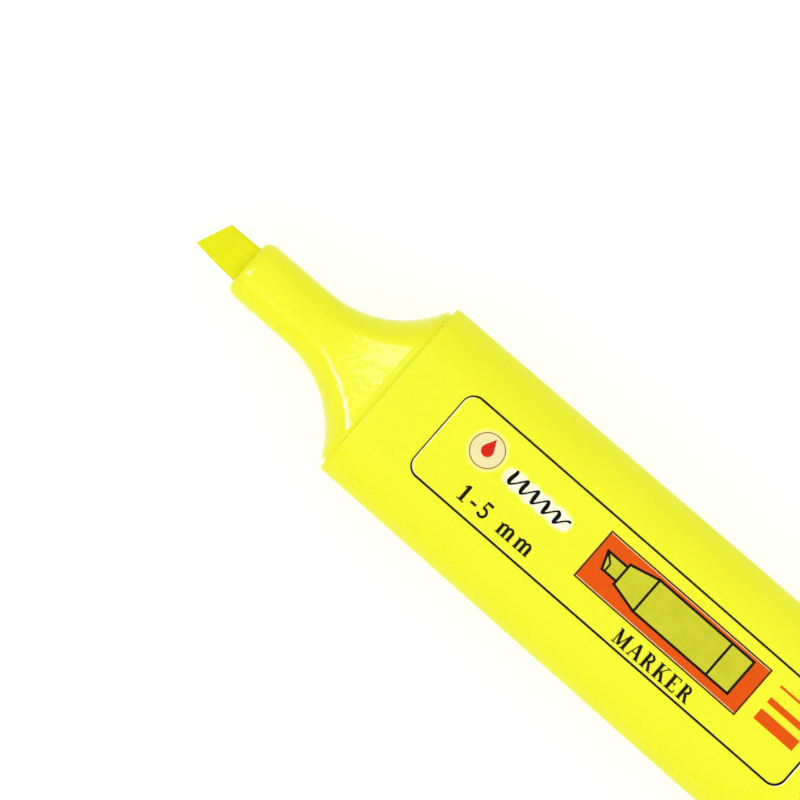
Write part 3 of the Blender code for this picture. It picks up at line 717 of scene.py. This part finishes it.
liner = {
    "plateHalfWidth": 10.5 * mm, "plateHalfHeight": 5.2 * mm, "plateHalfFlat": 5.8 * mm,
    "plateThick": 1.1 * mm, "plateFillet": 0.3 * mm, "radius": 5.15 * mm, "boreRadius": 4.1 * mm,
    "root": 0.5 * mm, "rootMiddle": 0.15 * mm, "lipAxial": 0.5 * mm, "lipInset": 0.45 * mm,
    "boreFloor": 0.2 * mm,
}
plateRings = [(1.1, 0.3, 0.2), (0.1, 0.0, 0.0), (0.0, 0.1, 0.1)]  # millimetres back, narrower and lower


def makeLiner():
    bm = bmesh.new()
    mouth = linerLow.x
    front = linerHigh.x - liner["plateThick"]
    root, middle = liner["root"], liner["rootMiddle"]
    outer, bore = liner["radius"], liner["boreRadius"]
    rings = [ovalRing(bm, front + behind * mm, liner["plateHalfWidth"] - narrower * mm,
                      liner["plateHalfHeight"] - lower * mm, liner["plateHalfFlat"], liner["plateFillet"])
             for behind, narrower, lower in plateRings]
    rings += [roundRing(bm, front - distance, outer + inset)
              for distance, inset in ((hair, root), (middle, middle), (root, 0.0))]
    lip = quarterRound(liner["lipAxial"], liner["lipInset"], 4)
    rings += [roundRing(bm, mouth + distance, outer - inset) for distance, inset in reversed(lip)]
    rings += [roundRing(bm, mouth + hair + distance, bore + inset) for distance, inset in lip]
    rings.append(roundRing(bm, front + liner["boreFloor"], bore))
    bridgeRings(bm, rings)
    finishPiece("capLinerCup", bm, linerPaint, "cap_body", ["cap_liner"], 35)


makeLiner()
print("cap liner made")


# clip: a springy arm, one with its foot on the cap

clip = {
    "top": 10.0 * mm, "thick": 1.4 * mm, "tipThick": 1.15 * mm, "rootDepth": 28.6 * mm, "footEnd": 32.3 * mm,
    "footDown": 6.2 * mm, "rootFillet": 0.7 * mm, "freeEnd": 2.0 * mm, "beadDepth": 5.2 * mm,
    "beadHalf": 1.9 * mm, "beadDrop": 1.0 * mm, "halfWidth": 2.3 * mm, "tipHalfWidth": 2.0 * mm,
    "edge": 0.35 * mm, "bendLength": 4.5 * mm,
}
clipLoops = (28.0, 27.2, 26.4, 25.6, 24.8, 24.0, 21.0, 17.0, 13.0, 9.5)  # closer at the root, where it bends


def makeClip():
    bm = bmesh.new()
    top, under = clip["top"], clip["top"] - clip["thick"]
    tipUnder = top - clip["tipThick"]
    fillet, root, tipRound = clip["rootFillet"], clip["rootDepth"], clip["tipThick"] / 2
    drop, half = clip["beadDrop"], clip["beadHalf"]
    radius = (half ** 2 + drop ** 2) / (2 * drop)
    spread = math.asin(half / radius)
    beadCentre = Vector((clip["beadDepth"], tipUnder - drop + radius, 0))
    tipCentre = Vector((clip["freeEnd"] + tipRound, top - tipRound, 0))
    arcs = [
        [bm.verts.new((clip["footEnd"], clip["footDown"], 0))],
        [bm.verts.new((clip["footEnd"], top, 0))],
        spinPoint(bm, tipCentre + Vector((0, tipRound, 0)), tipCentre, math.pi, 10),
        spinPoint(bm, beadCentre + Vector((-radius * math.sin(spread), -radius * math.cos(spread), 0)),
                  beadCentre, 2 * spread, 16),
        spinPoint(bm, (root - fillet, under, 0), (root - fillet, under - fillet, 0), -math.pi / 2, 6),
        [bm.verts.new((root, clip["footDown"], 0))],
    ]
    closeLoop(bm, arcs)
    bmesh.ops.edgeloop_fill(bm, edges=bm.edges[:])
    bmesh.ops.translate(bm, vec=(0, 0, 2 * clip["halfWidth"]), verts=extrudeFaces(bm))
    bmesh.ops.translate(bm, vec=(0, 0, -clip["halfWidth"]), verts=bm.verts)
    bmesh.ops.recalc_face_normals(bm, faces=bm.faces)
    bevelEdges(bm, sharpEdges(bm, 50), clip["edge"], 4)
    for depth in clipLoops:
        everything = bm.verts[:] + bm.edges[:] + bm.faces[:]
        bmesh.ops.bisect_plane(bm, geom=everything, plane_co=(depth * mm, 0, 0), plane_no=(1, 0, 0))
    bmesh.ops.remove_doubles(bm, verts=bm.verts, dist=0.001 * mm)
    for vert in bm.verts:  # the arm narrows towards its free end
        share = max(0.0, 1 - vert.co.x / root)
        vert.co.z *= 1 - share * (1 - clip["tipHalfWidth"] / clip["halfWidth"])
    place = Matrix(((1, 0, 0, capRimX), (0, 0, 1, 0), (0, 1, 0, axisZ), (0, 0, 0, 1)))
    bmesh.ops.transform(bm, matrix=place, verts=bm.verts)
    piece = finishPiece("clipArm", bm, capPaint, None, ["clip"], 35)
    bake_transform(piece)


makeClip()
print("clip made")


# print on the barrel: films of ink, drawn in millimetres behind the lip and to the side

film = {"sunk": 0.02, "step": 0.01, "overlap": 0.00005}  # into the plastic, per layer, stroke over stroke
labelPlace = Matrix.Translation((lipX, 0, faceZ)) @ Matrix.Scale(mm, 4)


def printPiece(name, bm, layer, paint):
    bmesh.ops.translate(bm, vec=(0, 0, -film["sunk"]), verts=bm.verts)
    bmesh.ops.translate(bm, vec=(0, 0, film["sunk"] + film["step"] * layer), verts=extrudeFaces(bm))
    bmesh.ops.transform(bm, matrix=labelPlace, verts=bm.verts)
    finishPiece(name, bm, paint, "pen_body", sharpAngle=20)


def strokeLevel(bm):  # each stroke lies a hair above those before it
    return len(bm.faces) * film["overlap"]


def drawBar(bm, x0, y0, x1, y1, width):  # a straight stroke
    run = Vector((x1 - x0, y1 - y0, 0))
    turn = Matrix.Rotation(math.atan2(run.y, run.x), 4, "Z")
    place = Matrix.Translation(((x0 + x1) / 2, (y0 + y1) / 2, strokeLevel(bm))) @ turn
    place = place @ Matrix.Diagonal((run.length, width, 1, 1))
    bmesh.ops.create_grid(bm, x_segments=1, y_segments=1, size=0.5, matrix=place)


def drawArc(bm, x, y, radius, start, sweep, width, steps=14):  # a round stroke
    turn = Matrix.Rotation(math.radians(start), 3, "Z")
    level = strokeLevel(bm)
    centre = Vector((x, y, level))
    ends = [bm.verts.new(centre + turn @ Vector((radius + side * width / 2, 0, 0))) for side in (-1, 1)]
    edge = bm.edges.new(ends)
    bmesh.ops.spin(bm, geom=[*ends, edge], cent=centre, axis=(0, 0, 1), angle=math.radians(sweep),
                   steps=steps, use_merge=sweep == 360)


def drawDot(bm, x, y, radius, segments=16):
    bmesh.ops.create_circle(bm, cap_ends=True, segments=segments, radius=radius,
                            matrix=Matrix.Translation((x, y, strokeLevel(bm))))


def drawLoop(bm, points, width):  # a closed line through corners, with square joints
    for (x0, y0), (x1, y1) in zip(points, points[1:] + points[:1]):
        run = Vector((x1 - x0, y1 - y0)).normalized() * width / 2
        drawBar(bm, x0 - run.x, y0 - run.y, x1 + run.x, y1 + run.y, width)


def fillShape(bm, points):
    bm.faces.new([bm.verts.new((x, y, 0)) for x, y in points])


def drawFrame(bm, low, high, radius, lines):  # a round-cornered frame, with its own line width on each side
    left, right, bottom, top = lines
    outer = roundedBoxLoop(bm, low, high, radius, 10)
    inner = roundedBoxLoop(bm, (low[0] + left, low[1] + bottom), (high[0] - right, high[1] - top),
                           radius - (left + top) / 2, 10)
    bmesh.ops.bridge_loops(bm, edges=outer + inner)


def drawBrush(bm, points, widths):  # a line whose width follows the hand
    for here, there, width, nextWidth in zip(points, points[1:], widths, widths[1:]):
        drawDot(bm, here.x, here.y, width / 2)
        drawBar(bm, here.x, here.y, there.x, there.y, (width + nextWidth) / 2)
    drawDot(bm, points[-1].x, points[-1].y, widths[-1] / 2)


glyphs = {  # (advance, straight strokes, round strokes), in cap heights
    "1": (0.66, [
        (0.34, 0, 0.34, 1, 0.21), (0.10, 0.035, 0.58, 0.035, 0.07), (0.12, 0.80, 0.30, 0.93, 0.09),
    ], []),
    "-": (0.54, [(0.07, 0.36, 0.45, 0.36, 0.15)], []),
    "5": (0.72, [
        (0.18, 0.92, 0.60, 0.92, 0.16), (0.18, 0.52, 0.20, 0.99, 0.08),
    ], [(0.28, 0.31, 0.25, -135, 255, 0.15), (0.12, 0.13, 0.050, 0, 360, 0.08)]),
    "m": (1.12, [
        *((x, 0, x, 0.58, 0.19) for x in (0.20, 0.56, 0.92)),
        *((x - 0.15, 0.03, x + 0.15, 0.03, 0.06) for x in (0.20, 0.56, 0.92)),
        (0.05, 0.61, 0.24, 0.61, 0.07),
    ], [(x, 0.50, 0.165, 0, 150, 0.13) for x in (0.405, 0.765)]),
    "M": (1.06, [
        (0.15, 0, 0.15, 1, 0.07), (0.84, 0, 0.84, 1, 0.21), (0.17, 0.97, 0.48, 0.05, 0.19),
        (0.48, 0.05, 0.80, 0.97, 0.07), (0.01, 0.03, 0.29, 0.03, 0.06), (0.66, 0.03, 1.02, 0.03, 0.06),
        (0.01, 0.97, 0.22, 0.97, 0.06), (0.78, 0.97, 1.02, 0.97, 0.06),
    ], []),
    "A": (0.90, [
        (0.12, 0.03, 0.42, 0.97, 0.07), (0.44, 0.96, 0.73, 0.03, 0.20), (0.24, 0.34, 0.60, 0.34, 0.07),
        (0.00, 0.03, 0.26, 0.03, 0.06), (0.56, 0.03, 0.90, 0.03, 0.06),
    ], []),
    "R": (0.86, [
        (0.20, 0, 0.20, 1, 0.21), (0.02, 0.97, 0.40, 0.97, 0.07), (0.02, 0.03, 0.38, 0.03, 0.06),
        (0.22, 0.50, 0.40, 0.50, 0.07), (0.42, 0.50, 0.69, 0.04, 0.18), (0.56, 0.03, 0.86, 0.03, 0.06),
    ], [(0.38, 0.735, 0.20, -90, 180, 0.15)]),
    "K": (0.90, [
        (0.20, 0, 0.20, 1, 0.21), (0.02, 0.03, 0.38, 0.03, 0.06), (0.02, 0.97, 0.38, 0.97, 0.06),
        (0.28, 0.42, 0.68, 0.96, 0.07), (0.38, 0.56, 0.72, 0.04, 0.19), (0.52, 0.97, 0.82, 0.97, 0.06),
        (0.54, 0.03, 0.90, 0.03, 0.06),
    ], []),
    "E": (0.80, [
        (0.20, 0, 0.20, 1, 0.21), (0.02, 0.96, 0.69, 0.96, 0.08), (0.02, 0.04, 0.71, 0.04, 0.08),
        (0.24, 0.51, 0.48, 0.51, 0.07), (0.66, 0.79, 0.66, 0.99, 0.06), (0.68, 0.01, 0.68, 0.23, 0.06),
        (0.48, 0.40, 0.48, 0.62, 0.06),
    ], []),
    " ": (0.42, [], []),
}


def setWord(bm, word, left, baseline, height, spacing):
    for letter in word:
        advance, bars, arcs = glyphs[letter]
        for x0, y0, x1, y1, width in bars:
            drawBar(bm, left + x0 * height, baseline + y0 * height,
                    left + x1 * height, baseline + y1 * height, width * height)
        for x, y, radius, start, sweep, width in arcs:
            drawArc(bm, left + x * height, baseline + y * height, radius * height, start, sweep,
                    width * height)
        left += (advance + spacing) * height


label = {
    "low": (7.6, -5.9), "high": (66.0, 6.4), "corner": 1.7, "lines": (0.16, 0.26, 0.28, 0.26),
    "whiteShift": (0.16, 0.03), "underLower": 0.06, "underLines": (0.12, 0.14, 0.26, 0.14),
    "mark": (13.7, 2.1), "markRadius": 2.14, "haloRadius": 2.62, "markLine": 0.11, "dropRadius": 0.78,
    "dropTip": 1.72, "scribbleStart": 17.6, "scribbleLength": 8.8, "scribbleHeight": 1.6, "scribbleTurns": 5,
    "scribbleRise": 0.85, "scribbleLean": 0.42, "bandPast": 0.9, "bandWidth": 2.65, "bandScallop": 0.12,
    "rangeLeft": 14.3, "rangeBase": -4.5, "rangeHeight": 2.15,
    "panelLow": (31.15, -2.25), "panelHigh": (56.2, 4.6), "panelLine": 0.20,
    "slipLine": 0.09, "slipInset": 0.04,
    "wordLeft": 39.4, "wordBase": -5.2, "wordHeight": 2.0,
    "barsFrom": 58.2, "barsTo": 64.2, "barsTop": 3.9, "barsApart": 2.1, "barWidths": (0.3, 0.8, 1.5),
}
icon = {
    "middle": 1.53, "tip": 32.3, "slant": 0.8, "bevel": 1.2, "neck": 35.35, "body": 39.2, "joint": 50.6,
    "end": 54.0, "nibHalf": 1.07, "neckHalf": 1.5, "bodyHalf": 2.45, "line": 0.32,
}


def printOutline():
    bm = bmesh.new()
    drawFrame(bm, label["low"], label["high"], label["corner"], label["lines"])
    printPiece("printOutline", bm, 2, blackInk)
    bm = bmesh.new()  # the white underprint has slipped a little, so it peeps out at the front
    shift = label["whiteShift"]
    low = (label["low"][0] + shift[0], label["low"][1] + shift[1])
    high = (label["high"][0] + shift[0], label["high"][1] + shift[1] - label["underLower"])
    drawFrame(bm, low, high, label["corner"], label["underLines"])
    printPiece("printOutlineUnder", bm, 1, whiteInk)


def printMark():  # an ink drop in a ring
    x, y = label["mark"]
    radius = label["markRadius"]
    bm = bmesh.new()
    drawDot(bm, x, y, label["haloRadius"], 48)
    printPiece("printMarkHalo", bm, 1, haloInk)
    bm = bmesh.new()
    drawDot(bm, x, y, radius, 48)
    printPiece("printMarkGround", bm, 2, creamInk)
    bm = bmesh.new()
    drawArc(bm, x, y, radius, 0, 360, label["markLine"], 48)
    printPiece("printMarkRing", bm, 3, brownInk)
    bm = bmesh.new()
    dropRadius = label["dropRadius"]
    arc = spinPoint(bm, (x - dropRadius * 0.87, y + dropRadius * 0.5, 0), (x, y, 0), math.radians(240), 20)
    arc.append(bm.verts.new((x, y + label["dropTip"], 0)))
    bm.faces.new(arc)
    printPiece("printMarkDrop", bm, 3, redInk)


def scribblePath(steps=70):  # a leaning wave, pressed harder on the way down
    points, pressures = [], []
    for step in range(steps + 1):
        share = step / steps
        phase = 2 * math.pi * label["scribbleTurns"] * share
        rise = (1.0 - 0.25 * share) * math.cos(phase) + 0.15 * math.cos(2.1 * phase)
        x = label["scribbleStart"] + label["scribbleLength"] * share + label["scribbleLean"] * rise
        points.append(Vector((x, label["scribbleHeight"] + label["scribbleRise"] * rise, 0)))
        pressures.append(0.36 + 0.16 * math.sin(phase))
    return points, pressures


def drawBand(bm, left, right, middle, width, scallop, steps=64):  # a round-ended band with scalloped sides
    ends, edge = None, None
    for step in range(steps + 1):
        share = step / steps
        x = left + (right - left) * (1 - math.cos(math.pi * share)) / 2
        reach = min(1.0, (x - left) / width * 2, (right - x) / width * 2)
        wave = scallop * math.cos(2 * math.pi * label["scribbleTurns"] * (x - left) / (right - left))
        half = (width / 2 + wave) * math.sqrt(max(0.02, 1 - (1 - reach) ** 2))
        if edge is None:
            ends = [bm.verts.new((x, middle - half, 0)), bm.verts.new((x, middle + half, 0))]
            edge = bm.edges.new(ends)
            continue
        grown = bmesh.ops.extrude_edge_only(bm, edges=[edge])["geom"]
        edge = next(item for item in grown if isinstance(item, bmesh.types.BMEdge))
        ends = sorted(edge.verts, key=lambda vert: vert.co.y)
        ends[0].co, ends[1].co = (x, middle - half, 0), (x, middle + half, 0)


def printScribble():
    left = label["scribbleStart"] - label["bandPast"]
    right = label["scribbleStart"] + label["scribbleLength"] + label["bandPast"]
    bands = (("printScribbleHalo", 0.0, 1, haloInk), ("printScribbleWhite", 0.25, 2, whiteInk))
    for name, narrower, layer, paint in bands:
        bm = bmesh.new()
        drawBand(bm, left + narrower, right - narrower, label["scribbleHeight"],
                 label["bandWidth"] - 2 * narrower, label["bandScallop"])
        printPiece(name, bm, layer, paint)
    bm = bmesh.new()
    drawBrush(bm, *scribblePath())
    printPiece("printScribble", bm, 3, blackInk)


def printPanel():
    (left, bottom), (right, top) = label["panelLow"], label["panelHigh"]
    corners = [(left, bottom), (right, bottom), (right, top), (left, top)]
    bm = bmesh.new()
    fillShape(bm, corners)
    printPiece("printPanel", bm, 2, orangeInk)
    bm = bmesh.new()
    drawLoop(bm, corners, label["panelLine"])
    printPiece("printPanelLine", bm, 4, darkInk)
    inner = label["panelLine"] / 2 + label["slipInset"]
    bm = bmesh.new()  # a pale slip shows inside the frame, where the orange falls short
    for y in (bottom + inner, top - inner):
        drawBar(bm, left, y, right, y, label["slipLine"])
    printPiece("printPanelSlip", bm, 3, creamInk)


def printMarkerIcon():  # a marker's outline, lying as the pen does
    middle, lineWidth = icon["middle"], icon["line"]
    nibHalf, neckHalf, bodyHalf = icon["nibHalf"], icon["neckHalf"], icon["bodyHalf"]
    tip, neck, body, end = (icon[place] for place in ("tip", "neck", "body", "end"))
    lower = [(tip, -nibHalf), (neck, -nibHalf), (neck, -neckHalf), (body, -bodyHalf), (end, -bodyHalf)]
    upper = [(x, -y) for x, y in reversed(lower)]
    lower[0] = (tip + icon["slant"], -nibHalf)
    outline = [(x, middle + y) for x, y in lower + upper]
    bm = bmesh.new()
    fillShape(bm, outline)
    printPiece("printIconFill", bm, 3, oliveInk)
    bm = bmesh.new()
    drawLoop(bm, outline, lineWidth)
    for x, half in ((neck, neckHalf), (body, bodyHalf), (icon["joint"], bodyHalf)):
        drawBar(bm, x, middle - half, x, middle + half, lineWidth)
    fold = tip + icon["bevel"]
    drawBar(bm, tip, middle + nibHalf, fold, middle, lineWidth * 0.8)
    drawBar(bm, fold, middle, fold, middle - nibHalf, lineWidth * 0.8)
    printPiece("printIconLines", bm, 4, blackInk)


def printWords():
    bm = bmesh.new()
    setWord(bm, "1-5 mm", label["rangeLeft"], label["rangeBase"], label["rangeHeight"], 0.13)
    printPiece("printStrokeRange", bm, 3, blackInk)
    bm = bmesh.new()
    setWord(bm, "MARKER", label["wordLeft"], label["wordBase"], label["wordHeight"], 0.10)
    printPiece("printWord", bm, 3, blackInk)
    bm = bmesh.new()
    for order, width in enumerate(label["barWidths"]):  # the strokes that the nib can draw
        level = label["barsTop"] - label["barsApart"] * order
        drawBar(bm, label["barsFrom"], level, label["barsTo"], level, width)
    printPiece("printStrokes", bm, 2, orangeInk)


printOutline()
printMark()
printScribble()
printPanel()
printMarkerIcon()
printWords()
print("print laid on")


# set: a pale table, soft lights and a camera straight above, turned so the pen lies aslant

table = {"half": 2.0, "tone": 0.30, "glow": 0.74}  # the glow keeps the shadows on the table faint


def makeTable():
    bm = bmesh.new()
    bmesh.ops.create_grid(bm, x_segments=1, y_segments=1, size=table["half"])
    mesh = bpy.data.meshes.new("paleTable")
    bm.to_mesh(mesh)
    bm.free()
    paint, tree, shader = startMaterial("paleTable", Roughness=0.9, Specular_IOR_Level=0.0,
                                        Emission_Strength=table["glow"])
    shader.inputs["Base Color"].default_value = (table["tone"], table["tone"], table["tone"], 1)
    shader.inputs["Emission Color"].default_value = (1, 1, 1, 1)
    mesh.materials.append(paint)
    top = bpy.data.objects.new("paleTable", mesh)
    bpy.context.scene.collection.objects.link(top)


lights = {  # azimuth from +X, elevation and roll in degrees; distance, length and width in metres
    "shoulderSoftbox": dict(azimuth=170, elevation=58, roll=0, distance=0.5, length=0.07, width=0.07,
                            watts=0.55, glossOnly=True),
    "creaseStrip": dict(azimuth=204, elevation=44.6, roll=68, distance=0.5, length=0.285, width=0.08,
                        watts=5.0, glossOnly=True),
    "sideSoftbox": dict(azimuth=250, elevation=45, roll=0, distance=0.6, length=0.3, width=0.3,
                        watts=0.45, glossOnly=False),
    "tailSoftbox": dict(azimuth=20, elevation=55, roll=0, distance=0.6, length=0.3, width=0.3,
                        watts=0.25, glossOnly=False),
}
sky = {"horizon": 0.48, "zenith": 1.09}


def makeSky():  # softer towards the horizon, as under a wide overhead softbox
    world = bpy.data.worlds.new("paleStudio")
    world.use_nodes = True
    tree = world.node_tree
    coordinates = addNode(tree, "ShaderNodeTexCoord")
    axes = addNode(tree, "ShaderNodeSeparateXYZ")
    rise = addNode(tree, "ShaderNodeMapRange", To_Min=sky["horizon"], To_Max=sky["zenith"])
    rays = addNode(tree, "ShaderNodeLightPath")
    seen = addNode(tree, "ShaderNodeMath", {"operation": "MAXIMUM"})  # looked at directly, it is pale too
    tree.links.new(coordinates.outputs["Generated"], axes.inputs[0])
    tree.links.new(axes.outputs["Z"], rise.inputs["Value"])
    tree.links.new(rise.outputs["Result"], seen.inputs[0])
    tree.links.new(rays.outputs["Is Camera Ray"], seen.inputs[1])
    tree.links.new(seen.outputs[0], tree.nodes["Background"].inputs["Strength"])
    tree.nodes["Background"].inputs["Color"].default_value = (1, 1, 1, 1)
    bpy.context.scene.world = world


def makeLights():
    target = Vector((lipX, 0, faceZ))
    for name, setting in lights.items():
        data = bpy.data.lights.new(name, "AREA")
        data.shape = "RECTANGLE"
        data.size, data.size_y, data.energy = setting["length"], setting["width"], setting["watts"]
        lamp = bpy.data.objects.new(name, data)
        turn, rise = math.radians(setting["azimuth"]), math.radians(setting["elevation"])
        towards = Vector((math.cos(turn) * math.cos(rise), math.sin(turn) * math.cos(rise), math.sin(rise)))
        lamp.location = target + towards * setting["distance"]
        aimed = towards.to_track_quat("Z", "Y") @ Quaternion((0, 0, 1), math.radians(setting["roll"]))
        lamp.rotation_euler = aimed.to_euler()
        lamp.visible_camera = False
        lamp.visible_diffuse = not setting["glossOnly"]
        bpy.context.scene.collection.objects.link(lamp)


camera = {
    "turn": 41.1, "behindLip": 1.95 * mm, "aside": -0.19 * mm, "distance": 1.5, "seen": 95.2 * mm,
    "sensor": 36.0,  # the sensor's width in millimetres
}


def makeCamera():
    data = bpy.data.cameras.new("overheadCamera")
    data.sensor_width = camera["sensor"]
    data.lens = camera["sensor"] * camera["distance"] / camera["seen"]
    data.clip_start, data.clip_end = 0.01, 20.0
    viewer = bpy.data.objects.new("overheadCamera", data)
    viewer.location = (lipX + camera["behindLip"], camera["aside"], axisZ + camera["distance"])
    viewer.rotation_euler = (0, 0, math.radians(camera["turn"]))
    bpy.context.scene.collection.objects.link(viewer)
    bpy.context.scene.camera = viewer


makeTable()
makeSky()
makeLights()
makeCamera()
bpy.context.scene.view_settings.view_transform = "Standard"
print("set made")
